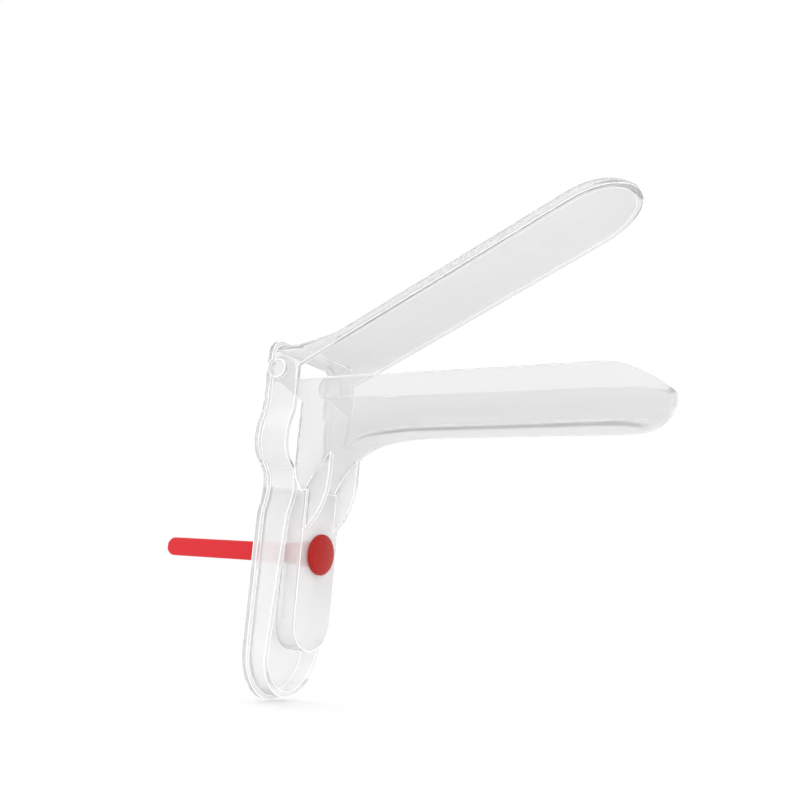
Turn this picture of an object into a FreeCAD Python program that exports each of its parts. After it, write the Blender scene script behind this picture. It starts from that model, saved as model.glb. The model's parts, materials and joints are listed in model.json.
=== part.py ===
import FreeCAD, Part
import os
import re

import Sketcher

# Bivalve speculum with a central locking peg, in three mouldings.
# The upper valve is a blade, a viewing frame and the rear handle in one piece.
# The lower valve is a blade, a funnel and the front handle in one piece.
# The locking peg joins the two handles and holds the blades apart.
# The valves turn on two studs. The model is drawn with the blades apart.
# Sizes are millimetres. +X runs along the blades, +Z up and +Y to the left.
# Each valve is drawn round the hinge axis, and its placement moves it to the part's origin.
# The origin is under the middle of the part's box, level with the rear handle's toe.

SIZES = {
    # walls and clearances
    "wall": 1.7,
    "side_gap": 0.35,
    "stud_clearance": 0.06,
    "peg_clearance": 0.06,
    "slot_clearance": 0.9,
    "seat_gap": 0.1,
    "rim_gap": 0.5,
    # blades
    "opening_angle": 25.8,
    "blade_reach": 110,
    "upper_blade_reach": 110.2,
    "tip_half_width": 14.4,
    "upper_tip_half_width": 15.6,
    "blade_depth": 14.3,
    "upper_blade_depth": 5.8,
    "corner_radius": 8.5,
    "upper_arch_radius": 9.5,
    "rim_lip": 0.9,
    "rim_drop": 3,
    "tip_dip": 5,
    "hood_reach": 20,
    "hood_run": 12,
    # funnel under the root of the lower blade
    "funnel_start": 8.1,
    "funnel_depth": 18.7,
    "funnel_length": 8,
    # hinge
    "stud_radius": 2.6,
    "ear_radius": 4,
    # viewing frame of the upper valve
    "frame_half_width": 15.3,
    "frame_belly_half_width": 17.6,
    "neck_half_width": 11.4,
    "frame_back": 2.8,
    "frame_front": 7.2,
    "frame_top": 7.5,
    "frame_corner": 3.5,
    "shoulder_drop": 9,
    "belly_drop": 21,
    "neck_drop": 34,
    "handle_swell": 10,
    "flange_width": 1.3,
    "flange_thickness": 1.6,
    # handles
    "handle_drop": 92,
    "rear_handle_half_width": 13,
    "rear_handle_toe_depth": 6.2,
    "front_handle_half_width": 8.8,
    "front_handle_drop": 79,
    "front_handle_depth": 6.6,
    "slot_top_drop": 46.5,
    "slot_length": 22,
    # gussets under the funnel
    "gusset_offset": 7.2,
    "gusset_reach": 6.4,
    "gusset_length": 15,
    "gusset_root_drop": 30,
    # locking peg
    "peg_drop": 52,
    "peg_back": 47.5,
    "boss_radius": 3.6,
    "boss_back": 3,
    "strap_height": 5.6,
    "strap_thickness": 2.4,
    "head_radius": 5.8,
    "head_thickness": 1.6,
    "head_dome": 0.7,
}

# where the funnel's sections stand, as shares of the length over which it falls away
FUNNEL_SHARES = (0, 0.4, 0.9, 1.5, 2.5, 4)

# a point of a sketch line: its start, its end or its centre
START, END, CENTRE = 1, 2, 3

doc = FreeCAD.newDocument("bivalve_speculum")
sheet = doc.addObject("Spreadsheet::Sheet", "size")
for row, (alias, number) in enumerate(SIZES.items(), start=1):
    sheet.set("A%d" % row, alias)
    sheet.set("B%d" % row, str(number))
    sheet.setAlias("B%d" % row, alias)
doc.recompute()


def value(formula):
    """The number that a formula of sheet words gives."""
    return float(sheet.evalExpression(formula))


def bound(formula):
    """A formula of sheet words, as an expression that any object can hold."""
    return re.sub(r"\b(%s)\b" % "|".join(SIZES), r"size.\1", formula)


def plane_of(body, role):
    """One of the body's own origin planes."""
    return next(f for f in body.Origin.OriginFeatures if f.Role == role)


def new_body(label):
    body = doc.addObject("PartDesign::Body", label)
    body.Label = label
    return body


def point(pair):
    return FreeCAD.Vector(value(pair[0]), value(pair[1]), 0)


def outline(body, name, role, path, lift="0", rise="0", tilt="0"):
    """A closed sketch through the corners of path, each placed by two formulas.

    A corner with four entries starts a round stretch about the centre that the last two give.
    lift moves the sketch along its plane's normal, rise along its second axis, and tilt turns
    it about its first axis, in degrees.
    """
    sketch = body.newObject("Sketcher::SketchObject", name)
    sketch.AttachmentSupport = [(plane_of(body, role), "")]
    sketch.MapMode = "FlatFace"
    turned = FreeCAD.Rotation(FreeCAD.Vector(1, 0, 0), value(tilt))
    sketch.AttachmentOffset = FreeCAD.Placement(FreeCAD.Vector(0, value(rise), value(lift)), turned)
    sketch.setExpression("AttachmentOffset.Base.z", bound(lift))
    sketch.setExpression("AttachmentOffset.Base.y", bound(rise))
    if tilt != "0":
        sketch.setExpression("AttachmentOffset.Rotation.Angle", bound(tilt))
    for corner, after in zip(path, path[1:] + path[:1]):
        start, end = point(corner), point(after)
        if len(corner) == 4:
            centre = point(corner[2:])
            middle = (start + end) * 0.5 - centre
            middle.Length = start.distanceToPoint(centre)
            clockwise = (start - centre).cross(end - centre).z < 0
            first, last = (end, start) if clockwise else (start, end)
            sketch.addGeometry(Part.Arc(first, centre + middle, last), False)
        else:
            sketch.addGeometry(Part.LineSegment(start, end), False)
    joins = []
    holds = []
    for index, corner in enumerate(path):
        here = end_at(sketch, index, point(corner))
        before = (index - 1) % len(path)
        last = end_at(sketch, before, point(corner))
        joins.append(Sketcher.Constraint("Coincident", before, last, index, here))
        holds.append(("DistanceX", index, here, corner[0]))
        holds.append(("DistanceY", index, here, corner[1]))
        if len(corner) == 4:
            chord = point(path[(index + 1) % len(path)]) - point(corner)
            upright = abs(chord.y) > abs(chord.x)
            kind, formula = ("DistanceX", corner[2]) if upright else ("DistanceY", corner[3])
            holds.append((kind, index, CENTRE, formula))
    sketch.addConstraint(joins + [
        Sketcher.Constraint(kind, index, end, value(formula)) for kind, index, end, formula in holds])
    for number, (kind, index, end, formula) in enumerate(holds, start=len(joins)):
        sketch.setExpression("Constraints[%d]" % number, bound(formula))
    return sketch


def end_at(sketch, index, place):
    """Which end of a sketch line lies at place: its start or its end."""
    line = sketch.Geometry[index]
    nearer = line.StartPoint.distanceToPoint(place) < line.EndPoint.distanceToPoint(place)
    return START if nearer else END


def pad(body, name, sketch, length, middle=False):
    """Adds a sketch's area, carried along the sketch's normal."""
    feature = body.newObject("PartDesign::Pad", name)
    feature.Profile = sketch
    feature.setExpression("Length", bound(length))
    feature.Midplane = middle
    return feature


def cut(body, name, sketch, length=None, middle=False):
    """Takes a sketch's area away: through everything, or to a length against the normal."""
    feature = body.newObject("PartDesign::Pocket", name)
    feature.Profile = sketch
    if length:
        feature.setExpression("Length", bound(length))
    else:
        feature.Type = "ThroughAll"
    feature.Midplane = middle
    return feature


def loft(body, name, sketches, ruled=False):
    feature = body.newObject("PartDesign::AdditiveLoft", name)
    feature.Profile = sketches[0]
    feature.Sections = sketches[1:]
    feature.Ruled = ruled
    return feature


def revolve(body, name, sketch, axis, angle):
    feature = body.newObject("PartDesign::Revolution", name)
    feature.Profile = sketch
    feature.ReferenceAxis = (sketch, [axis])
    feature.Angle = angle
    return feature


def trough(half, rim, crown, side, radius):
    """Section of a blade's wall: two sides, two round corners and a flat crown.

    side is "+" where the blade is open upwards and "-" where it is open downwards.
    """
    centre = "(%s%s%s)" % (crown, side, radius)
    inner_crown = "(%s%swall)" % (crown, side)
    inner = "(%s-wall)" % half
    flat = "(%s-%s)" % (half, radius)
    return [
        ("-" + half, rim),
        ("-" + half, centre, "-" + flat, centre),
        ("-" + flat, crown),
        (flat, crown, flat, centre),
        (half, centre),
        (half, rim),
        (inner, rim),
        (inner, centre, flat, centre),
        (flat, inner_crown),
        ("-" + flat, inner_crown, "-" + flat, centre),
        ("-" + inner, centre),
        ("-" + inner, rim),
    ]


def arch(half, rim, crown):
    """Section of the upper blade's wall, open downwards: a lip each side and an arched crown.

    The crown is flat in the middle. Its two arcs stand about one level, below the rim.
    """
    middle = "(%s-upper_arch_radius)" % crown
    spring = "(%s+rim_lip)" % rim
    inner_crown = "(%s-wall)" % crown
    flat = "(%s-sqrt(upper_arch_radius^2-(%s-%s)^2))" % (half, spring, middle)
    inner = "(%s+sqrt((upper_arch_radius-wall)^2-(%s-%s)^2))" % (flat, spring, middle)
    return [
        ("-" + half, rim),
        ("-" + half, spring, "-" + flat, middle),
        ("-" + flat, crown),
        (flat, crown, flat, middle),
        (half, spring),
        (half, rim),
        (inner, rim),
        (inner, spring, flat, middle),
        (flat, inner_crown),
        ("-" + flat, inner_crown, "-" + flat, middle),
        ("-" + inner, spring),
        ("-" + inner, rim),
    ]


def half_section(section):
    """The right-hand half of a blade's section, closed on the middle line, for a round tip."""
    first, arc, crown = section[0], section[1], section[2]
    inner_crown, inner_arc, inner_first = section[9], section[10], section[11]
    return [
        ("0", crown[1]),
        crown + arc[2:],
        arc[:2],
        first,
        inner_first,
        inner_arc + inner_crown[2:],
        inner_crown[:2],
        ("0", inner_crown[1]),
    ]


def swell(half_from, drop_from, half_to, drop_to):
    """Two equal arcs that carry a side from one half width to another, upright at both ends."""
    radius = "(((%s-%s)^2+(%s-%s)^2)/(4*(%s-%s)))" % (
        drop_to, drop_from, half_from, half_to, half_from, half_to)
    return [
        (half_from, "-" + drop_from, "(%s-%s)" % (half_from, radius), "-" + drop_from),
        ("((%s+%s)/2)" % (half_from, half_to), "-((%s+%s)/2)" % (drop_from, drop_to),
         "(%s+%s)" % (half_to, radius), "-" + drop_to),
    ]


def frame_side(inset):
    """The left side of the frame and the rear handle, from the shoulder to the round toe."""
    top = "(frame_half_width-%s)" % inset
    belly = "(frame_belly_half_width-%s)" % inset
    neck = "(neck_half_width-%s)" % inset
    grip = "(rear_handle_half_width-%s)" % inset
    grip_drop = "(neck_drop+handle_swell)"
    return (
        swell(top, "shoulder_drop", belly, "belly_drop")
        + swell(belly, "belly_drop", neck, "neck_drop")
        + swell(neck, "neck_drop", grip, grip_drop)
        + [(grip, "-" + grip_drop)]
    )


def mirrored(path):
    """The same corners on the other side, in the order that goes on round the outline."""
    out = []
    for here, before in zip(path[::-1], path[::-1][1:] + [None]):
        arc = before[2:] if before and len(before) == 4 else ()
        if arc:
            arc = ("-" + arc[0], arc[1])
        out.append(("-" + here[0], here[1]) + arc)
    return out


def frame_outline(inset):
    """The whole front view of the upper valve's frame and handle, moved in by inset."""
    half = "(frame_half_width-%s)" % inset
    top = "(frame_top-%s)" % inset
    corner = "(frame_corner-%s)" % inset
    grip = "(rear_handle_half_width-%s)" % inset
    toe = "-(handle_drop-rear_handle_half_width)"
    corner_y = "(%s-%s)" % (half, corner)
    corner_z = "(%s-%s)" % (top, corner)
    left = [
        (corner_y, top, corner_y, corner_z),
        (half, corner_z),
    ] + frame_side(inset) + [
        (grip, toe, "0", toe),
    ]
    bottom = [("0", "(%s-%s)" % (toe, grip), "0", toe)]
    right = mirrored(left[:-1] + [(grip, toe)])
    return left + bottom + right


def blade_half(station):
    """Half width of the lower blade at a distance from the hinge: it widens evenly to the tip."""
    root = "(frame_half_width-wall-side_gap)"
    return "(%s+(tip_half_width-%s)*%s/(blade_reach-tip_half_width))" % (root, root, station)


def upper_half(station):
    """Half width of the upper blade at a distance from the hinge."""
    tip_at = "(upper_blade_reach-upper_tip_half_width)"
    return "(frame_half_width+(upper_tip_half_width-frame_half_width)*%s/%s)" % (station, tip_at)


def funnel_crown(offset):
    """Height of the lower blade's underside, which falls away towards the funnel's edge."""
    return "(-rim_drop-blade_depth-funnel_depth*exp(-(%s)/funnel_length))" % offset


def lower_valve():
    body = new_body("lower_valve")
    sections = []
    for number, share in enumerate(FUNNEL_SHARES):
        offset = "(funnel_length*%s)" % share
        station = "(funnel_start+%s)" % offset
        path = trough(blade_half(station), "-rim_drop", funnel_crown(offset), "+", "corner_radius")
        sections.append(outline(body, "funnel_%d" % number, "YZ_Plane", path, station))
    loft(body, "funnel", sections)

    tip_at = "(blade_reach-tip_half_width)"
    crown = funnel_crown(tip_at + "-funnel_start")
    tip_path = trough("tip_half_width", "-rim_drop", crown, "+", "corner_radius")
    tip_section = outline(body, "tip_section", "YZ_Plane", tip_path, tip_at)
    loft(body, "blade", [sections[-1], tip_section], ruled=True)
    tip_half = outline(body, "tip_half", "YZ_Plane", half_section(tip_path), tip_at)
    revolve(body, "tip", tip_half, "V_Axis", 180)
    # the tip's rim starts level and falls away to the nose
    radius = "((tip_half_width^2+tip_dip^2)/(2*tip_dip))"
    dip_path = [
        (tip_at, "-rim_drop", tip_at, "-(rim_drop+%s)" % radius),
        ("blade_reach", "-(rim_drop+tip_dip)"),
        ("(blade_reach+wall)", "-(rim_drop+tip_dip)"),
        ("(blade_reach+wall)", "(wall-rim_drop)"),
        (tip_at, "(wall-rim_drop)"),
    ]
    dip = outline(body, "tip_dip", "XZ_Plane", dip_path)
    cut(body, "tip_rim", dip, "(4*tip_half_width)", middle=True)

    # the front handle hangs from the funnel's edge: a web with a flange down each side
    top = "(%s+wall)" % funnel_crown("0")
    foot = "-(front_handle_drop-front_handle_half_width)"
    half = "front_handle_half_width"
    web_path = [
        (half, top), (half, foot, "0", foot), ("0", "(%s-%s)" % (foot, half), "0", foot),
        ("-" + half, foot), ("-" + half, top),
    ]
    handle = outline(body, "handle_outline", "YZ_Plane", web_path, "(funnel_start+wall-front_handle_depth)")
    pad(body, "handle_block", handle, "front_handle_depth")
    inner = "(front_handle_half_width-wall)"
    hollow_path = [
        (inner, top), (inner, foot, "0", foot), ("0", "(%s-%s)" % (foot, inner), "0", foot),
        ("-" + inner, foot), ("-" + inner, top),
    ]
    hollow = outline(body, "handle_hollow", "YZ_Plane", hollow_path, "funnel_start")
    cut(body, "handle_channel", hollow)

    # two gussets stand under the funnel, one each side of the handle
    for side, sign in (("left", ""), ("right", "-")):
        reach = "(funnel_start+wall+gusset_reach)"
        back = "(funnel_start+wall/2)"
        root = "-gusset_root_drop"
        tail = "-(gusset_root_drop+gusset_length)"
        swing = "((gusset_length^2-gusset_reach^2)/(2*gusset_reach))"
        path = [
            (back, "(%s+wall)" % funnel_crown("wall/2")),
            (reach, "(%s+wall/2)" % funnel_crown("wall+gusset_reach")),
            (reach, root, "(funnel_start+wall-%s)" % swing, root),
            ("(funnel_start+wall)", tail),
            (back, tail),
        ]
        plate = outline(body, "gusset_%s" % side, "XZ_Plane", path, "(%sgusset_offset-wall/2)" % sign)
        pad(body, "gusset_plate_%s" % side, plate, "wall")

    # ears reach back to the hinge inside the frame, each with a stud that turns in the frame
    ear_outer = "(frame_half_width-wall-side_gap)"
    for side, lift in (("left", "(-%s)" % ear_outer), ("right", "(%s-wall)" % ear_outer)):
        path = [
            ("0", "ear_radius", "0", "0"),
            ("-ear_radius", "0", "0", "0"),
            ("0", "-ear_radius"),
            ("(funnel_start+wall)", "-(rim_drop+2*ear_radius)"),
            ("(funnel_start+wall)", "-rim_drop"),
            ("ear_radius", "-rim_drop"),
            ("ear_radius", "0", "0", "0"),
        ]
        ear = outline(body, "ear_outline_%s" % side, "XZ_Plane", path, lift)
        pad(body, "ear_%s" % side, ear, "wall")
    for side, lift in (("left", "(-frame_half_width)"), ("right", "(%s-wall/2)" % ear_outer)):
        path = [
            ("stud_radius", "0", "0", "0"), ("0", "stud_radius", "0", "0"),
            ("-stud_radius", "0", "0", "0"), ("0", "-stud_radius", "0", "0"),
        ]
        disc = outline(body, "stud_outline_%s" % side, "XZ_Plane", path, lift)
        pad(body, "stud_%s" % side, disc, "(wall+side_gap+wall/2)")

    # the peg's boss passes through the handle's web
    hole_path = [
        ("(boss_radius+peg_clearance)", "-peg_drop", "0", "-peg_drop"),
        ("0", "(boss_radius+peg_clearance-peg_drop)", "0", "-peg_drop"),
        ("-(boss_radius+peg_clearance)", "-peg_drop", "0", "-peg_drop"),
        ("0", "-(boss_radius+peg_clearance+peg_drop)", "0", "-peg_drop"),
    ]
    hole = outline(body, "peg_hole_outline", "YZ_Plane", hole_path, "(funnel_start+2*wall)")
    body.Tip = cut(body, "peg_hole", hole, "(3*wall)")
    return body


def upper_valve():
    body = new_body("upper_valve")
    depth = "(frame_back+frame_front)"
    outer = outline(body, "frame_outer", "YZ_Plane", frame_outline("0"), "-frame_back")
    pad(body, "frame_block", outer, depth)
    rim = outline(body, "flange_outer", "YZ_Plane", frame_outline("(-flange_width)"), "-frame_back")
    pad(body, "flange", rim, "flange_thickness")

    # the hood carries the frame's top on into the blade, and the blade ends in a round tip
    seat = "(frame_front-wall)"
    rim_height = "(%s*tan(opening_angle)-(rim_drop-rim_gap)/cos(opening_angle))" % seat
    root_path = trough("frame_half_width", rim_height, "frame_top", "-", "frame_corner")
    sections = [outline(body, "hood_0", "YZ_Plane", root_path, seat)]
    rim = "(rim_gap-rim_drop)"
    crown = "(%s+upper_blade_depth)" % rim
    half = "upper_tip_half_width"
    for number, station in enumerate(("hood_reach", "(hood_reach+hood_run)"), start=1):
        path = arch(upper_half(station), rim, crown)
        sections.append(pitched(body, "hood_%d" % number, path, station))
    loft(body, "hood", sections, ruled=True)
    tip_at = "(upper_blade_reach-%s)" % half
    tip_path = arch(half, rim, crown)
    tip_section = pitched(body, "tip_section", tip_path, tip_at)
    loft(body, "blade", [sections[-1], tip_section], ruled=True)
    tip_half = pitched(body, "tip_half", half_section(tip_path), tip_at)
    revolve(body, "tip", tip_half, "V_Axis", 180)

    # the channel is open to the front, and the window goes right through above the neck
    hollow = outline(body, "hollow", "YZ_Plane", frame_outline("wall"), "frame_front")
    cut(body, "channel", hollow, "(%s-wall)" % depth)
    window_path = window_outline()
    window = outline(body, "window_outline", "YZ_Plane", window_path, "frame_front")
    cut(body, "window", window)

    # the handle's side walls grow lower towards the toe
    toe_front = "(rear_handle_toe_depth-frame_back)"
    slope_path = [
        ("frame_front", "-neck_drop"),
        (toe_front, "-handle_drop"),
        (toe_front, "-(handle_drop+frame_front)"),
        ("(2*frame_front)", "-(handle_drop+frame_front)"),
        ("(2*frame_front)", "-neck_drop"),
    ]
    slope = outline(body, "slope_outline", "XZ_Plane", slope_path)
    cut(body, "slope", slope, middle=True)

    # a slot for the strap, and a hole for each stud
    slot_half = "(strap_thickness/2+slot_clearance)"
    slot_top = "-(slot_top_drop+%s)" % slot_half
    slot_foot = "(%s-slot_length)" % slot_top
    slot_path = [
        (slot_half, slot_top, "0", slot_top), ("0", "(%s+%s)" % (slot_top, slot_half), "0", slot_top),
        ("-" + slot_half, slot_top), ("-" + slot_half, slot_foot, "0", slot_foot),
        ("0", "(%s-%s)" % (slot_foot, slot_half), "0", slot_foot), (slot_half, slot_foot),
    ]
    slot = outline(body, "slot_outline", "YZ_Plane", slot_path, "frame_front")
    cut(body, "slot", slot)
    bore = "(stud_radius+stud_clearance)"
    bore_path = [
        (bore, "0", "0", "0"), ("0", bore, "0", "0"), ("-" + bore, "0", "0", "0"), ("0", "-" + bore, "0", "0"),
    ]
    holes = outline(body, "stud_holes", "XZ_Plane", bore_path)
    body.Tip = cut(body, "stud_bores", holes, "(4*frame_half_width)", middle=True)
    return body


def pitched(body, name, path, station):
    """A section of the upper blade, square to it, at a distance from the hinge."""
    lift = "(%s*cos(opening_angle))" % station
    rise = "(%s*sin(opening_angle))" % station
    return outline(body, name, "YZ_Plane", path, lift, rise, "(-opening_angle)")


def window_outline():
    """The hollow of the frame above its neck, closed by a level sill."""
    half = "(frame_half_width-wall)"
    top = "(frame_top-wall)"
    corner = "(frame_corner-wall)"
    corner_y = "(%s-%s)" % (half, corner)
    corner_z = "(%s-%s)" % (top, corner)
    left = [(corner_y, top, corner_y, corner_z), (half, corner_z)] + frame_side("wall")[:4]
    left.append(("(neck_half_width-wall)", "-neck_drop"))
    return left + mirrored(left)


def locking_peg():
    body = new_body("locking_peg")
    face = "(funnel_start+wall+seat_gap)"
    crown = "(%s+head_thickness+head_dome)" % face
    turned_path = [
        ("boss_back", "0"),
        ("boss_back", "boss_radius"),
        (face, "boss_radius"),
        (face, "head_radius"),
        ("(%s+head_thickness)" % face, "head_radius"),
        (crown, "(head_radius/2)"),
        (crown, "0"),
    ]
    turned = outline(body, "head_outline", "XZ_Plane", turned_path)
    revolve(body, "head", turned, "H_Axis", 360)
    half = "(strap_height/2)"
    round_at = "(%s-peg_back)" % half
    strap_path = [
        ("(boss_back+wall)", half), (round_at, half, round_at, "0"),
        ("-peg_back", "0", round_at, "0"), (round_at, "-" + half), ("(boss_back+wall)", "-" + half),
    ]
    strap = outline(body, "strap_outline", "XZ_Plane", strap_path)
    body.Tip = pad(body, "strap", strap, "strap_thickness", middle=True)
    return body


def put(body, drop):
    """Moves a piece from the hinge axis to its place over the part's origin."""
    body.setExpression("Placement.Base.x", bound("(peg_back-blade_reach)/2"))
    body.setExpression("Placement.Base.z", bound("handle_drop+flange_width-(%s)" % drop))


pieces = [lower_valve(), upper_valve(), locking_peg()]
for piece, drop in zip(pieces, ("0", "0", "peg_drop")):
    put(piece, drop)
doc.recompute()

for item in doc.Objects:
    if "Invalid" in item.State or "Error" in item.State:
        raise RuntimeError("%s did not build: %s" % (item.Label, item.State))
os.makedirs("parts", exist_ok=True)
for piece in pieces:
    shape = piece.Shape
    if shape.isNull() or not shape.isValid() or len(shape.Solids) != 1:
        raise RuntimeError("%s is not one sound solid" % piece.Label)
    shape.exportStep("parts/%s.step" % piece.Label)
    box = shape.BoundBox
    print("%s %.0f mm3, x %.1f to %.1f, y %.1f to %.1f, z %.1f to %.1f" % (
        piece.Label, shape.Volume, box.XMin, box.XMax, box.YMin, box.YMax, box.ZMin, box.ZMax))
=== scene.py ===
"""Looks of a clear bivalve speculum with a red locking peg, laid out as an add-on.

Lengths are metres. +X runs along the lower blade, +Z up and +Y to the left.
"""

import json

import bpy
import numpy as np
from bpy.props import FloatProperty, FloatVectorProperty, IntProperty, PointerProperty
from mathutils import Matrix, Vector


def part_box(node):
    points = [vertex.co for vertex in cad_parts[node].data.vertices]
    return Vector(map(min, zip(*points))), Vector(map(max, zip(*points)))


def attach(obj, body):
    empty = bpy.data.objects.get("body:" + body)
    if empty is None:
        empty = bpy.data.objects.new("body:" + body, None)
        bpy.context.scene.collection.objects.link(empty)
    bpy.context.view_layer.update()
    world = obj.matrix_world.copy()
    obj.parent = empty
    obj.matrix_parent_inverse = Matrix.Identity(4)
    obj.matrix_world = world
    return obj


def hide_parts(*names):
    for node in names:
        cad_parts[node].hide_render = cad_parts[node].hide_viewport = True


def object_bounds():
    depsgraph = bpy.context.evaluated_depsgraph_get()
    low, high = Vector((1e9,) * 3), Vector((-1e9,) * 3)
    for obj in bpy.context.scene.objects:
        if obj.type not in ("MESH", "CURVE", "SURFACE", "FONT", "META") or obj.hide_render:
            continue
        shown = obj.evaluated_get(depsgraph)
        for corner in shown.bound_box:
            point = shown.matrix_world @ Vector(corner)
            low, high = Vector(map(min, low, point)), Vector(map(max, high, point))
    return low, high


bl_info = {
    "name": "Bivalve Speculum",
    "version": (1, 0, 0),
    "blender": (4, 5, 0),
    "location": "3D View > Sidebar > Speculum",
    "description": "Dresses a clear bivalve speculum, its red locking peg and a pale studio",
    "category": "Object",
}

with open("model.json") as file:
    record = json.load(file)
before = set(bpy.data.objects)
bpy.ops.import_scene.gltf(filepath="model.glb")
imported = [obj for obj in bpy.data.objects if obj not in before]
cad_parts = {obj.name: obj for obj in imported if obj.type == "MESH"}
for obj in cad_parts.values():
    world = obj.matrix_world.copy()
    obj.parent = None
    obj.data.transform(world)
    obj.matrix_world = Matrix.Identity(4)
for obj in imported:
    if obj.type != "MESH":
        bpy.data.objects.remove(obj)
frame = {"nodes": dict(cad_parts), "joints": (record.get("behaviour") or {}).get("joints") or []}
CAD_LOW, CAD_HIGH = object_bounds()
PEG_LOW, PEG_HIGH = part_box("locking_peg")
HINGE = Vector(frame["joints"][0]["pos_m"])
PEG_MID_HEIGHT = (PEG_LOW.z + PEG_HIGH.z) / 2
HEAD_RADIUS = (PEG_HIGH.z - PEG_LOW.z) / 2

# the span that holds most of a noise texture's values
NOISE_LOW, NOISE_HIGH = 0.3, 0.7

# clear walls: their index is low, so that they bend what shows through them only a little
WALL_IOR = 1.2
VEIL_IOR = 1.45
# roughness between which the handling bloom lies: shares of the setting, and the veil's own
WALL_BLOOM = (0.8, 1.2)
VEIL_BLOOM = (0.2, 0.26)
FLOW_STRENGTH = 0.6
BEVEL_SAMPLES = 8
# cosine between the rounded normal and the face's own, where the painted edge highlight is whitest and
# where it ends
EDGE_FULL, EDGE_END = 0.8, 0.98

# red plastic: the share of light that scatters below its surface, and how far red, green and blue get
PEG_IOR = 1.33
PEG_GLOW = 0.08
PEG_GLOW_REACH = (0.001, 0.0003, 0.0003)
# roughness between which the grain lies, in shares of the setting
PEG_BLOOM = (0.75, 1.3)
# patches of the two reds, twice as long along the peg, and the fine grain of its faces
PATCH_SIZE, PATCH_STRETCH = 0.006, (0.5, 1, 1)
GRAIN_SIZE, GRAIN_DEPTH, GRAIN_STRENGTH = 0.0004, 0.00002, 0.5

# the head's profile: points in an arc, rings of the dome, and the share of its radius left to the pole
ARC_POINTS = 7
DOME_RINGS = 14
DOME_EYE = 0.02
RIM_TURN = 0.42 * np.pi

# the strap: rings of its round end from a first angle on, and further rings in half heights
STRAP_STEPS = 72
TIP_RINGS, TIP_START = 26, 0.06
STRAP_RINGS = (1.5, 3, 6, 10)
# power that squares its section, and the thickness at the very end and the run to the full one
STRAP_CORNER = 0.32
NOSE_SHARE, NOSE_RUN = 0.5, 0.35
# place and width of the line along its sides, in half heights above the middle
GROOVE_PLACE, GROOVE_WIDTH = 0.12, 0.07

# the floor: its corners, its finish, and the shares of its reach between which it fades
FLOOR_RINGS, FLOOR_STEPS = 17, 97
FLOOR_ROUGHNESS = 0.9
FLOOR_CLOUD, FLOOR_DULL = 0.3, 0.99
FADE_START, FADE_END = 0.12, 0.7
# each lamp's place from the part's middle, and the side of its square face
KEY_PLACE, KEY_SIDE = (-0.35, -0.45, 0.5), 0.4
FILL_PLACE, FILL_SIDE = (0.5, -0.3, 0.25), 0.5
# the camera's sensor in millimetres, and the nearest and furthest that it sees
SENSOR_WIDTH = 36
CLIP_START, CLIP_END = 0.01, 20


class ClearPlasticSettings(bpy.types.PropertyGroup):
    """Finish of the two clear valves, with a highlight painted white on their edges."""

    tint: FloatVectorProperty(
        name="Blade tint", description="Colour that the blades' clear wall passes on",
        subtype="COLOR", size=3, min=0, max=1, default=(0.925, 0.925, 0.928))
    veil: FloatVectorProperty(
        name="Blade veil", description="Colour of the light that the blades' wall scatters back",
        subtype="COLOR", size=3, min=0, max=1, default=(0.82, 0.82, 0.82))
    handle_tint: FloatVectorProperty(
        name="Handle tint", description="Colour that the handles' clear wall passes on",
        subtype="COLOR", size=3, min=0, max=1, default=(0.985, 0.985, 0.985))
    handle_veil: FloatVectorProperty(
        name="Handle veil", description="Colour of the light that the handles' wall scatters back",
        subtype="COLOR", size=3, min=0, max=1, default=(0.98, 0.98, 0.98))
    haze: FloatProperty(
        name="Blade haze", description="Share of the light that the blades' wall scatters",
        subtype="FACTOR", min=0, max=1, default=0.28)
    handle_haze: FloatProperty(
        name="Handle haze", description="Share of the light that the handles' wall scatters",
        subtype="FACTOR", min=0, max=1, default=0.42)
    handle_top: FloatProperty(
        name="Handle top", description="Height at which the handles' tone has passed into the blades'",
        subtype="DISTANCE", unit="LENGTH", default=0.078)
    handle_blend: FloatProperty(
        name="Handle blend", description="Height over which one tone passes into the other",
        subtype="DISTANCE", unit="LENGTH", min=0.001, default=0.035)
    # edge highlight share: how far the rounded edges turn into the painted white highlight
    edge_highlight_share: FloatProperty(
        name="Edge haze", description="Share that the wall's rounded edges scatter",
        subtype="FACTOR", min=0, max=1, default=0.85)
    edge_radius: FloatProperty(
        name="Edge radius", description="Radius of the moulded edges",
        subtype="DISTANCE", unit="LENGTH", min=0, default=0.00065)
    roughness: FloatProperty(
        name="Roughness", description="Roughness of the polished faces",
        subtype="FACTOR", min=0, max=1, default=0.06)
    flow_size: FloatProperty(
        name="Flow size", description="Length of the soft waves that the melt left in the wall",
        subtype="DISTANCE", unit="LENGTH", min=0.001, default=0.018)
    flow_depth: FloatProperty(
        name="Flow depth", description="Height of those waves",
        subtype="DISTANCE", unit="LENGTH", min=0, default=0.000008)
    # painted highlight: the rim colour is a white coat on the rounded edges, standing in for the light
    # they catch
    rim: FloatVectorProperty(
        name="Rim", description="Colour of the light that the moulded edges catch",
        subtype="COLOR", size=3, min=0, max=1, default=(0.97, 0.97, 0.97))
    # painted glow: the edges give out light though they are no lamp, standing in for the highlight they
    # catch
    painted_rim_glow: FloatProperty(
        name="Rim glow", description="Light that the edges give out, led there inside the wall",
        min=0, default=0.25)


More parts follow.
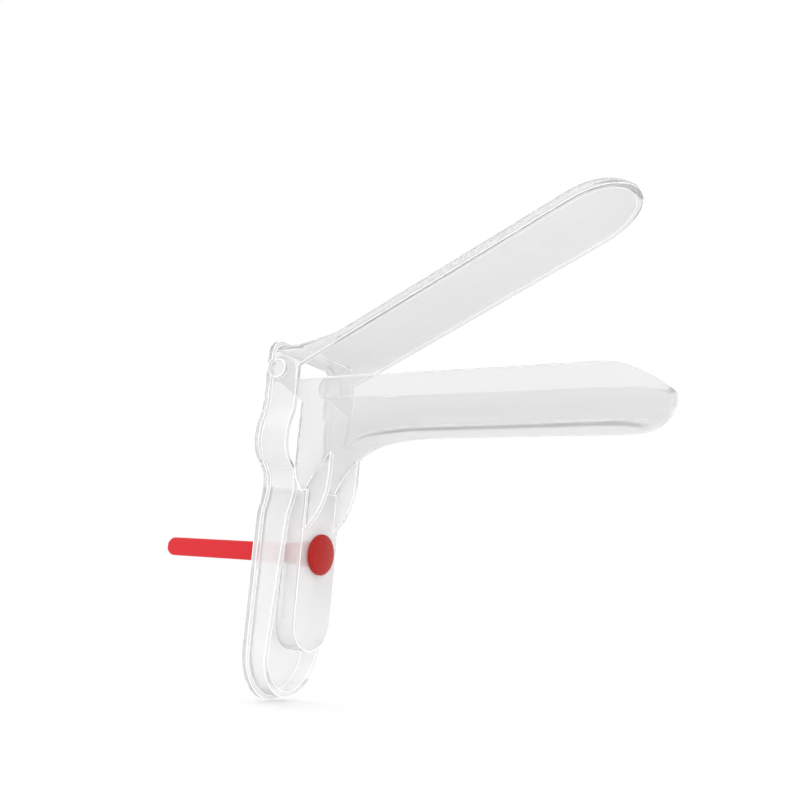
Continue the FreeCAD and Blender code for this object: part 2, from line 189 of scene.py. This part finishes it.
class LockingPegSettings(bpy.types.PropertyGroup):
    """Sizes and finish of the red peg."""

    colour: FloatVectorProperty(
        name="Strap colour", description="Colour of the thin strap",
        subtype="COLOR", size=3, min=0, max=1, default=(0.68, 0.022, 0.03))
    # the head's darker red, into which the strap's red passes along the peg
    darker_head_red: FloatVectorProperty(
        name="Head colour", description="Deeper colour of the thick head",
        subtype="COLOR", size=3, min=0, max=1, default=(0.43, 0.008, 0.004))
    roughness: FloatProperty(
        name="Roughness", description="Roughness of the peg's faces",
        subtype="FACTOR", min=0, max=1, default=0.3)
    edge: FloatProperty(
        name="Edge", description="Radius of the head's rounded rim",
        subtype="DISTANCE", unit="LENGTH", min=0.0001, default=0.0005)
    boss_length: FloatProperty(
        name="Boss length", description="Length of the round boss behind the head",
        subtype="DISTANCE", unit="LENGTH", min=0.001, default=0.0074)
    boss_radius: FloatProperty(
        name="Boss radius", description="Radius of the round boss",
        subtype="DISTANCE", unit="LENGTH", min=0.001, default=0.0036)
    head_thickness: FloatProperty(
        name="Head thickness", description="Height of the head's rim",
        subtype="DISTANCE", unit="LENGTH", min=0.0005, default=0.0016)
    head_dome: FloatProperty(
        name="Head dome", description="How far the head's face stands out in its middle",
        subtype="DISTANCE", unit="LENGTH", min=0, default=0.0007)
    strap_height: FloatProperty(
        name="Strap height", description="Height of the strap",
        subtype="DISTANCE", unit="LENGTH", min=0.001, default=0.0056)
    strap_thickness: FloatProperty(
        name="Strap thickness", description="Thickness of the strap",
        subtype="DISTANCE", unit="LENGTH", min=0.0005, default=0.0024)
    groove: FloatProperty(
        name="Groove", description="Depth of the line along the strap's sides",
        subtype="DISTANCE", unit="LENGTH", min=0, default=0.00018)
    rounds: IntProperty(
        name="Rounds", description="Facets round the head", min=16, max=256, default=96)


class StudioSettings(bpy.types.PropertyGroup):
    """Floor, lamps and camera."""

    floor_colour: FloatVectorProperty(
        name="Floor colour", description="Colour of the pale floor",
        subtype="COLOR", size=3, min=0, max=1, default=(0.975, 0.975, 0.975))
    floor_reach: FloatProperty(
        name="Floor reach", description="Radius of the round floor",
        subtype="DISTANCE", unit="LENGTH", min=0.3, default=1.0)
    floor_gap: FloatProperty(
        name="Floor gap", description="How far the floor lies below the handle's toe",
        subtype="DISTANCE", unit="LENGTH", min=0, default=0.0002)
    sky: FloatProperty(
        name="Sky", description="Strength of the even light from all round",
        min=0, default=1.0)
    key: FloatProperty(
        name="Key", description="Power of the soft lamp at the upper left",
        subtype="POWER", unit="POWER", min=0, default=0.8)
    fill: FloatProperty(
        name="Fill", description="Power of the soft lamp at the right",
        subtype="POWER", unit="POWER", min=0, default=0.4)
    azimuth: FloatProperty(
        name="Azimuth", description="Camera's angle round the part, from the right-hand side",
        subtype="ANGLE", unit="ROTATION", default=np.radians(30.46))
    elevation: FloatProperty(
        name="Elevation", description="Camera's angle above the hinge",
        subtype="ANGLE", unit="ROTATION", default=np.radians(-11.64))
    roll: FloatProperty(
        name="Roll", description="Camera's tilt about its own line of sight",
        subtype="ANGLE", unit="ROTATION", default=np.radians(-4.48))
    distance: FloatProperty(
        name="Distance", description="Camera's distance from the hinge",
        subtype="DISTANCE", unit="LENGTH", min=0.05, default=0.27875)
    aside: FloatProperty(
        name="Aside", description="How far the camera stands to the right of the hinge",
        subtype="DISTANCE", unit="LENGTH", default=0.02789)
    below: FloatProperty(
        name="Below", description="How far the camera stands below the hinge",
        subtype="DISTANCE", unit="LENGTH", default=0.00609)
    lens: FloatProperty(
        name="Lens", description="Focal length on a 36 mm wide sensor",
        subtype="DISTANCE_CAMERA", unit="CAMERA", min=10, default=41.36)


def smooth_mesh(name, corners, faces):
    """A mesh of corners, and of faces as lists of corner numbers, with smooth shading."""
    mesh = bpy.data.meshes.new(name)
    mesh.from_pydata(corners.tolist(), [], faces)
    mesh.polygons.foreach_set("use_smooth", np.ones(len(mesh.polygons), bool))
    mesh.update()
    return mesh


def sheet_mesh(name, grid):
    """Open skin over grid[i, j]: face (i, j) joins rows i and i+1 between columns j and j+1."""
    rows, columns = grid.shape[:2]
    i, j = np.meshgrid(np.arange(rows - 1), np.arange(columns - 1), indexing="ij")
    here = i * columns + j
    faces = np.stack([here, here + columns, here + columns + 1, here + 1], axis=-1).reshape(-1, 4)
    return smooth_mesh(name, grid.reshape(-1, 3), faces.tolist())


def tube_mesh(name, rings, first_pole, last_pole):
    """Closed skin over rings[i, j]: ring i, step j round it, with a point that closes each end.

    Face (i, j) joins rings i and i+1 between steps j and j+1, taken round the circle.
    """
    count, steps = rings.shape[:2]
    corners = np.concatenate([rings.reshape(-1, 3), [first_pole, last_pole]])
    i, j = np.meshgrid(np.arange(count - 1), np.arange(steps), indexing="ij")
    after = (j + 1) % steps
    here = i * steps
    sides = np.stack([here + j, here + after, here + steps + after, here + steps + j], axis=-1)
    step = np.arange(steps)
    step_after = (step + 1) % steps
    last = (count - 1) * steps
    start_cap = np.stack([np.full(steps, count * steps), step_after, step], axis=-1)
    end_cap = np.stack([np.full(steps, count * steps + 1), last + step, last + step_after], axis=-1)
    faces = sides.reshape(-1, 4).tolist() + start_cap.tolist() + end_cap.tolist()
    return smooth_mesh(name, corners, faces)


def arc(centre_x, centre_r, radius, start, stop):
    """Arc of a profile: x = cx + radius sin a and r = cr + radius cos a, for a from start to stop."""
    angle = np.linspace(start, stop, ARC_POINTS)
    return np.stack([centre_x + radius * np.sin(angle), centre_r + radius * np.cos(angle)], axis=-1)


def turned_mesh(name, profile, height, steps):
    """Skin turned about the line y = 0, z = height.

    A profile point (x, r) at angle t goes to (x, r sin t, height + r cos t).
    """
    angle = np.linspace(0, 2 * np.pi, steps, endpoint=False)
    x, r = profile[:, :1], profile[:, 1:]
    along = np.broadcast_to(x, (len(profile), steps))
    rings = np.stack([along, r * np.sin(angle), height + r * np.cos(angle)], axis=-1)
    return tube_mesh(name, rings, (profile[0, 0], 0, height), (profile[-1, 0], 0, height))


def peg_stations(settings):
    """X of the dome's crown, the head's rim, the head's inner face and the boss's back end."""
    crown = PEG_HIGH.x
    rim = crown - settings.head_dome
    face = rim - settings.head_thickness
    return crown, rim, face, face - settings.boss_length


def head_mesh(settings):
    """Head and boss, turned: a boss and a flat disc with rounded rims, and a low dome on the disc.

    The dome is x = crown - R + sqrt(R^2 - r^2), where R = (head radius^2 + dome^2) / (2 dome).
    """
    crown, rim, face, back = peg_stations(settings)
    edge, boss_radius, dome_height = settings.edge, settings.boss_radius, settings.head_dome
    dome_radius = (HEAD_RADIUS**2 + dome_height**2) / (2 * dome_height)
    spread = np.linspace(HEAD_RADIUS - edge, HEAD_RADIUS * DOME_EYE, DOME_RINGS)
    dome = np.stack([crown - dome_radius + np.sqrt(dome_radius**2 - spread**2), spread], axis=-1)
    profile = np.concatenate([
        arc(back + edge, boss_radius - edge, edge, -np.pi / 2, 0),
        [[face - edge, boss_radius]],
        arc(face + edge, HEAD_RADIUS - edge, edge, -np.pi / 2, 0),
        arc(rim - edge, HEAD_RADIUS - edge, edge, 0, RIM_TURN),
        dome,
    ])
    return turned_mesh("peg_head", profile, PEG_MID_HEIGHT, settings.rounds)


def quarter_round(share):
    """Rise of a quarter circle of radius 1 along its run: sqrt(1 - (1 - s)^2), and 1 past its end."""
    return np.sqrt(1 - (1 - np.clip(share, 0, 1)) ** 2)


def squared(wave):
    """A sine or cosine w with flattened crests: sign(w) |w|^STRAP_CORNER."""
    return np.sign(wave) * np.abs(wave) ** STRAP_CORNER


def strap_mesh(settings):
    """Flat strap from its free end up into the boss: a rounded rectangle carried along X.

    At x from the free end the section reaches h = H q(x / H) up and down, where q is quarter_round
    and H the half height, so that the end is a half circle in side view. To the sides it reaches t,
    which rises in the same way from NOSE_SHARE of the half thickness to all of it. At angle a round
    the section, y = t squared(cos a) and z = h squared(sin a). A groove, depth exp(-((z / h - place)
    / width)^2), is taken off both sides.
    """
    back = peg_stations(settings)[-1]
    half_height = settings.strap_height / 2
    half_thickness = settings.strap_thickness / 2
    reach = back + 2 * settings.edge - PEG_LOW.x
    tip = 1 - np.cos(np.linspace(TIP_START, np.pi / 2, TIP_RINGS))
    along = np.concatenate([tip, STRAP_RINGS]) * half_height
    along = np.append(along[along < reach], reach)
    height_at = half_height * quarter_round(along / half_height)
    nose = quarter_round(along / (NOSE_RUN * half_thickness))
    thick_at = half_thickness * (NOSE_SHARE + (1 - NOSE_SHARE) * nose)
    turn = np.linspace(0, 2 * np.pi, STRAP_STEPS, endpoint=False)
    across, upright = squared(np.cos(turn)), squared(np.sin(turn))
    groove = settings.groove * np.exp(-(((upright - GROOVE_PLACE) / GROOVE_WIDTH) ** 2)) * np.sign(across)
    rings = np.stack([
        np.broadcast_to(PEG_LOW.x + along[:, None], (len(along), len(turn))),
        thick_at[:, None] * across - groove,
        PEG_MID_HEIGHT + height_at[:, None] * upright,
    ], axis=-1)
    free_end = (PEG_LOW.x, 0, PEG_MID_HEIGHT)
    return tube_mesh("peg_strap", rings, free_end, (PEG_LOW.x + reach, 0, PEG_MID_HEIGHT))


def show(name, mesh, body, material):
    """Puts a mesh in the scene as a piece that rides on a body."""
    piece = bpy.data.objects.new(name, mesh)
    bpy.context.scene.collection.objects.link(piece)
    mesh.materials.append(material)
    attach(piece, body)
    return piece


def new_material(name):
    """A material with only its output node, as the material, its nodes, its links and that node."""
    material = bpy.data.materials.new(name)
    material.use_nodes = True
    nodes = material.node_tree.nodes
    nodes.clear()
    return material, nodes, material.node_tree.links, nodes.new("ShaderNodeOutputMaterial")


def noise(nodes, links, size, detail, stretch=(1, 1, 1)):
    """Noise on Object coordinates whose lumps are about size metres long."""
    place = nodes.new("ShaderNodeTexCoord")
    mapping = nodes.new("ShaderNodeMapping")
    mapping.inputs["Scale"].default_value = stretch
    texture = nodes.new("ShaderNodeTexNoise")
    texture.inputs["Scale"].default_value = 1 / size
    texture.inputs["Detail"].default_value = detail
    links.new(place.outputs["Object"], mapping.inputs["Vector"])
    links.new(mapping.outputs["Vector"], texture.inputs["Vector"])
    return texture.outputs["Fac"]


def mapped(nodes, links, source, low, high, start=NOISE_LOW, end=NOISE_HIGH):
    """The source's span from start to end carried to low to high, with soft ends."""
    node = nodes.new("ShaderNodeMapRange")
    node.interpolation_type = "SMOOTHSTEP"
    node.inputs["From Min"].default_value = start
    node.inputs["From Max"].default_value = end
    node.inputs["To Min"].default_value = low
    node.inputs["To Max"].default_value = high
    links.new(source, node.inputs["Value"])
    return node.outputs["Result"]


def stirred(nodes, links, axis, clouds, depth):
    """The Object coordinate along an axis, plus depth metres times clouds that run from 0 to 1."""
    place = nodes.new("ShaderNodeTexCoord")
    parts = nodes.new("ShaderNodeSeparateXYZ")
    total = nodes.new("ShaderNodeMath")
    total.operation = "MULTIPLY_ADD"
    total.inputs[1].default_value = depth
    links.new(place.outputs["Object"], parts.inputs["Vector"])
    links.new(clouds, total.inputs[0])
    links.new(parts.outputs[axis], total.inputs[2])
    return total.outputs["Value"]


def two_tones(nodes, links, shader, level, low, high):
    """Colours a shader low where the level is 0 and high where it is 1."""
    mix = nodes.new("ShaderNodeMix")
    mix.data_type = "RGBA"
    mix.inputs["A"].default_value = (*low, 1)
    mix.inputs["B"].default_value = (*high, 1)
    links.new(level, mix.inputs["Factor"])
    links.new(mix.outputs["Result"], shader.inputs["Base Color"])


def bumped(nodes, links, shaders, height, depth, strength):
    """Gives shaders the small waves of a height that runs from 0 to 1, depth metres high."""
    bump = nodes.new("ShaderNodeBump")
    bump.inputs["Distance"].default_value = depth
    bump.inputs["Strength"].default_value = strength
    links.new(height, bump.inputs["Height"])
    for shader in shaders:
        links.new(bump.outputs["Normal"], shader.inputs["Normal"])


def mixed(nodes, links, factor, first, second):
    """The first shader where the factor is 0 and the second where it is 1."""
    mix = nodes.new("ShaderNodeMixShader")
    links.new(factor, mix.inputs["Fac"])
    links.new(first, mix.inputs[1])
    links.new(second, mix.inputs[2])
    return mix.outputs["Shader"]


def painted_edge_highlight_mask(nodes, links, settings):
    """Share of the painted edge highlight where the rounded normal leaves the face's own, and 0 on the
    faces.
    """
    rounding = nodes.new("ShaderNodeBevel")
    rounding.samples = BEVEL_SAMPLES
    rounding.inputs["Radius"].default_value = settings.edge_radius
    geometry = nodes.new("ShaderNodeNewGeometry")
    agree = nodes.new("ShaderNodeVectorMath")
    agree.operation = "DOT_PRODUCT"
    links.new(rounding.outputs["Normal"], agree.inputs[0])
    links.new(geometry.outputs["Normal"], agree.inputs[1])
    return mapped(nodes, links, agree.outputs["Value"], settings.edge_highlight_share, 0, EDGE_FULL, EDGE_END)


def clear_plastic(settings):
    """Clear moulded plastic: a glassy wall under a pale veil, and edges painted white with a glow as
    highlights.
    """
    material, nodes, links, output = new_material("clear_plastic")
    wall = nodes.new("ShaderNodeBsdfPrincipled")
    wall.inputs["IOR"].default_value = WALL_IOR
    wall.inputs["Transmission Weight"].default_value = 1.0
    veil = nodes.new("ShaderNodeBsdfPrincipled")
    veil.inputs["IOR"].default_value = VEIL_IOR
    # painted highlight on the edges: a white diffuse coat with a painted glow
    rim = nodes.new("ShaderNodeBsdfPrincipled")
    rim.inputs["Base Color"].default_value = (*settings.rim, 1)
    rim.inputs["Emission Color"].default_value = (*settings.rim, 1)
    rim.inputs["Emission Strength"].default_value = settings.painted_rim_glow

    # the handles' tone below and the blades' above, parted by clouds that raise it by half of stir
    clouds = noise(nodes, links, settings.flow_size, detail=0)
    stir = settings.handle_blend / 2
    top = settings.handle_top + stir / 2
    height = stirred(nodes, links, "Z", clouds, stir)
    level = mapped(nodes, links, height, 0, 1, top - settings.handle_blend, top)
    two_tones(nodes, links, wall, level, settings.handle_tint, settings.tint)
    two_tones(nodes, links, veil, level, settings.handle_veil, settings.veil)

    # polished faces with a fine handling bloom, and the soft waves of the melt
    bloom = noise(nodes, links, settings.flow_size / 2, detail=2)
    low, high = WALL_BLOOM
    rough = mapped(nodes, links, bloom, low * settings.roughness, high * settings.roughness)
    links.new(rough, wall.inputs["Roughness"])
    veil_rough = mapped(nodes, links, bloom, *VEIL_BLOOM)
    links.new(veil_rough, veil.inputs["Roughness"])
    links.new(veil_rough, rim.inputs["Roughness"])
    bumped(nodes, links, (wall, veil), clouds, settings.flow_depth, FLOW_STRENGTH)

    haze = mapped(nodes, links, level, settings.handle_haze, settings.haze, 0, 1)
    hazy = mixed(nodes, links, haze, wall.outputs["BSDF"], veil.outputs["BSDF"])
    # the edges take the painted highlight where the rounded normal turns away from the face's own
    edges = painted_edge_highlight_mask(nodes, links, settings)
    links.new(mixed(nodes, links, edges, hazy, rim.outputs["BSDF"]), output.inputs["Surface"])
    return material


def red_plastic(settings):
    """Opaque red moulded plastic with a satin gloss, a darker red towards and in the head."""
    material, nodes, links, output = new_material("red_plastic")
    shader = nodes.new("ShaderNodeBsdfPrincipled")
    shader.inputs["IOR"].default_value = PEG_IOR
    shader.inputs["Subsurface Weight"].default_value = PEG_GLOW
    shader.inputs["Subsurface Radius"].default_value = PEG_GLOW_REACH
    shader.inputs["Subsurface Scale"].default_value = 1.0
    patches = noise(nodes, links, PATCH_SIZE, detail=3, stretch=PATCH_STRETCH)
    along = stirred(nodes, links, "X", patches, settings.boss_length / 2)
    head_at = PEG_HIGH.x - settings.head_thickness
    # the red darkens along the peg towards the head, with patchy edges
    deeper = mapped(nodes, links, along, 0, 1, head_at - settings.boss_length, head_at)
    two_tones(nodes, links, shader, deeper, settings.colour, settings.darker_head_red)
    grain = noise(nodes, links, GRAIN_SIZE, detail=3)
    low, high = PEG_BLOOM
    rough = mapped(nodes, links, grain, low * settings.roughness, high * settings.roughness)
    links.new(rough, shader.inputs["Roughness"])
    bumped(nodes, links, (shader,), grain, GRAIN_DEPTH, GRAIN_STRENGTH)
    links.new(shader.outputs["BSDF"], output.inputs["Surface"])
    return material


def floor_material(settings):
    """Dull pale floor with broad faint clouds, whose alpha falls to 0 away from the part."""
    material, nodes, links, output = new_material("pale_floor")
    shader = nodes.new("ShaderNodeBsdfPrincipled")
    shader.inputs["Roughness"].default_value = FLOOR_ROUGHNESS
    shader.inputs["Specular IOR Level"].default_value = 0.0
    dull = FLOOR_DULL * np.array(settings.floor_colour)
    clouds = noise(nodes, links, FLOOR_CLOUD, detail=2)
    two_tones(nodes, links, shader, clouds, settings.floor_colour, dull)
    place = nodes.new("ShaderNodeTexCoord")
    away = nodes.new("ShaderNodeVectorMath")
    away.operation = "LENGTH"
    links.new(place.outputs["Object"], away.inputs[0])
    near, far = FADE_START * settings.floor_reach, FADE_END * settings.floor_reach
    links.new(mapped(nodes, links, away.outputs["Value"], 1, 0, near, far), shader.inputs["Alpha"])
    links.new(shader.outputs["BSDF"], output.inputs["Surface"])
    return material


class SPECULUM_OT_clear_valves(bpy.types.Operator):
    """Give both valves their clear moulded plastic"""

    bl_idname = "speculum.clear_valves"
    bl_label = "Clear valves"

    def execute(self, context):
        material = clear_plastic(context.scene.speculum_plastic)
        for node in ("upper_valve", "lower_valve"):
            valve = frame["nodes"][node]
            for holder in valve.material_slots:
                holder.material = material
            # clear walls let the studio's light through to the floor
            valve.visible_shadow = False
        return {"FINISHED"}


class SPECULUM_OT_locking_peg(bpy.types.Operator):
    """Build the red peg: a turned head and boss, and a flat strap with a round end"""

    bl_idname = "speculum.locking_peg"
    bl_label = "Locking peg"

    def execute(self, context):
        settings = context.scene.speculum_peg
        material = red_plastic(settings)
        piece = show("peg_head", head_mesh(settings), "peg", material)
        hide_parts("locking_peg")
        show("peg_strap", strap_mesh(settings), "peg", material)
        return {"FINISHED"}


class SPECULUM_OT_studio(bpy.types.Operator):
    """Set the pale floor, the soft lamps, the even light and the camera"""

    bl_idname = "speculum.studio"
    bl_label = "Studio"

    def execute(self, context):
        settings = context.scene.speculum_studio
        self.add_floor(settings)
        self.add_lamps(settings)
        self.add_world(context.scene, settings)
        self.add_camera(context.scene, settings)
        context.scene.view_settings.view_transform = "Standard"
        return {"FINISHED"}

    def add_floor(self, settings):
        """A flat round floor that fades away far from the part.

        Corner (i, j) lies at radius reach (i / n)^2 and angle j.
        """
        turn = np.linspace(0, 2 * np.pi, FLOOR_STEPS)
        run = settings.floor_reach * np.linspace(0, 1, FLOOR_RINGS) ** 2
        level = np.full((len(run), len(turn)), CAD_LOW.z - settings.floor_gap)
        corners = np.stack([run[:, None] * np.cos(turn), run[:, None] * np.sin(turn), level], axis=-1)
        mesh = sheet_mesh("pale_floor", corners)
        mesh.materials.append(floor_material(settings))
        floor = bpy.data.objects.new("pale_floor", mesh)
        bpy.context.scene.collection.objects.link(floor)

    def add_lamps(self, settings):
        """Two broad square lamps, set off from the part's middle and turned to it."""
        middle = (CAD_LOW + CAD_HIGH) / 2
        for name, power, place, side in (
                ("key_lamp", settings.key, KEY_PLACE, KEY_SIDE),
                ("fill_lamp", settings.fill, FILL_PLACE, FILL_SIDE)):
            offset = Vector(place)
            data = bpy.data.lights.new(name, "AREA")
            data.energy = power
            data.size = side
            lamp = bpy.data.objects.new(name, data)
            bpy.context.scene.collection.objects.link(lamp)
            lamp.location = middle + offset
            lamp.rotation_euler = offset.to_track_quat("Z", "Y").to_euler()

    def add_world(self, scene, settings):
        """Even white light from all round."""
        world = bpy.data.worlds.new("soft_light")
        world.use_nodes = True
        background = world.node_tree.nodes["Background"]
        background.inputs["Color"].default_value = (1, 1, 1, 1)
        background.inputs["Strength"].default_value = settings.sky
        scene.world = world

    def add_camera(self, scene, settings):
        """A camera that stands back from the hinge along its own line of sight, and a little aside."""
        azimuth, elevation = settings.azimuth, settings.elevation
        back = Vector((
            np.cos(elevation) * np.sin(azimuth), -np.cos(elevation) * np.cos(azimuth), np.sin(elevation)))
        right = Vector((np.cos(azimuth), np.sin(azimuth), 0))
        up = back.cross(right)
        turned = Matrix((right, up, back)).transposed() @ Matrix.Rotation(-settings.roll, 3, "Z")
        camera_data = bpy.data.cameras.new("camera")
        camera_data.sensor_width = SENSOR_WIDTH
        camera_data.lens = settings.lens
        camera_data.clip_start = CLIP_START
        camera_data.clip_end = CLIP_END
        camera = bpy.data.objects.new("camera", camera_data)
        scene.collection.objects.link(camera)
        seat = HINGE + turned @ Vector((settings.aside, -settings.below, settings.distance))
        camera.matrix_world = Matrix.Translation(seat) @ turned.to_4x4()
        scene.camera = camera


class SPECULUM_PT_tools(bpy.types.Panel):
    """Lists the pieces and their settings"""

    bl_idname = "SPECULUM_PT_tools"
    bl_label = "Bivalve Speculum"
    bl_space_type = "VIEW_3D"
    bl_region_type = "UI"
    bl_category = "Speculum"

    def draw(self, context):
        groups = (
            (SPECULUM_OT_clear_valves, context.scene.speculum_plastic),
            (SPECULUM_OT_locking_peg, context.scene.speculum_peg),
            (SPECULUM_OT_studio, context.scene.speculum_studio),
        )
        for operator, settings in groups:
            box = self.layout.box()
            for word in settings.__annotations__:
                box.prop(settings, word)
            box.operator(operator.bl_idname)


CLASSES = (
    ClearPlasticSettings,
    LockingPegSettings,
    StudioSettings,
    SPECULUM_OT_clear_valves,
    SPECULUM_OT_locking_peg,
    SPECULUM_OT_studio,
    SPECULUM_PT_tools,
)


def register():
    for cls in CLASSES:
        bpy.utils.register_class(cls)
    bpy.types.Scene.speculum_plastic = PointerProperty(type=ClearPlasticSettings)
    bpy.types.Scene.speculum_peg = PointerProperty(type=LockingPegSettings)
    bpy.types.Scene.speculum_studio = PointerProperty(type=StudioSettings)


def unregister():
    del bpy.types.Scene.speculum_studio
    del bpy.types.Scene.speculum_peg
    del bpy.types.Scene.speculum_plastic
    for cls in reversed(CLASSES):
        bpy.utils.unregister_class(cls)


def main():
    register()
    bpy.ops.speculum.clear_valves()
    bpy.ops.speculum.locking_peg()
    bpy.ops.speculum.studio()


if __name__ == "__main__":
    main()
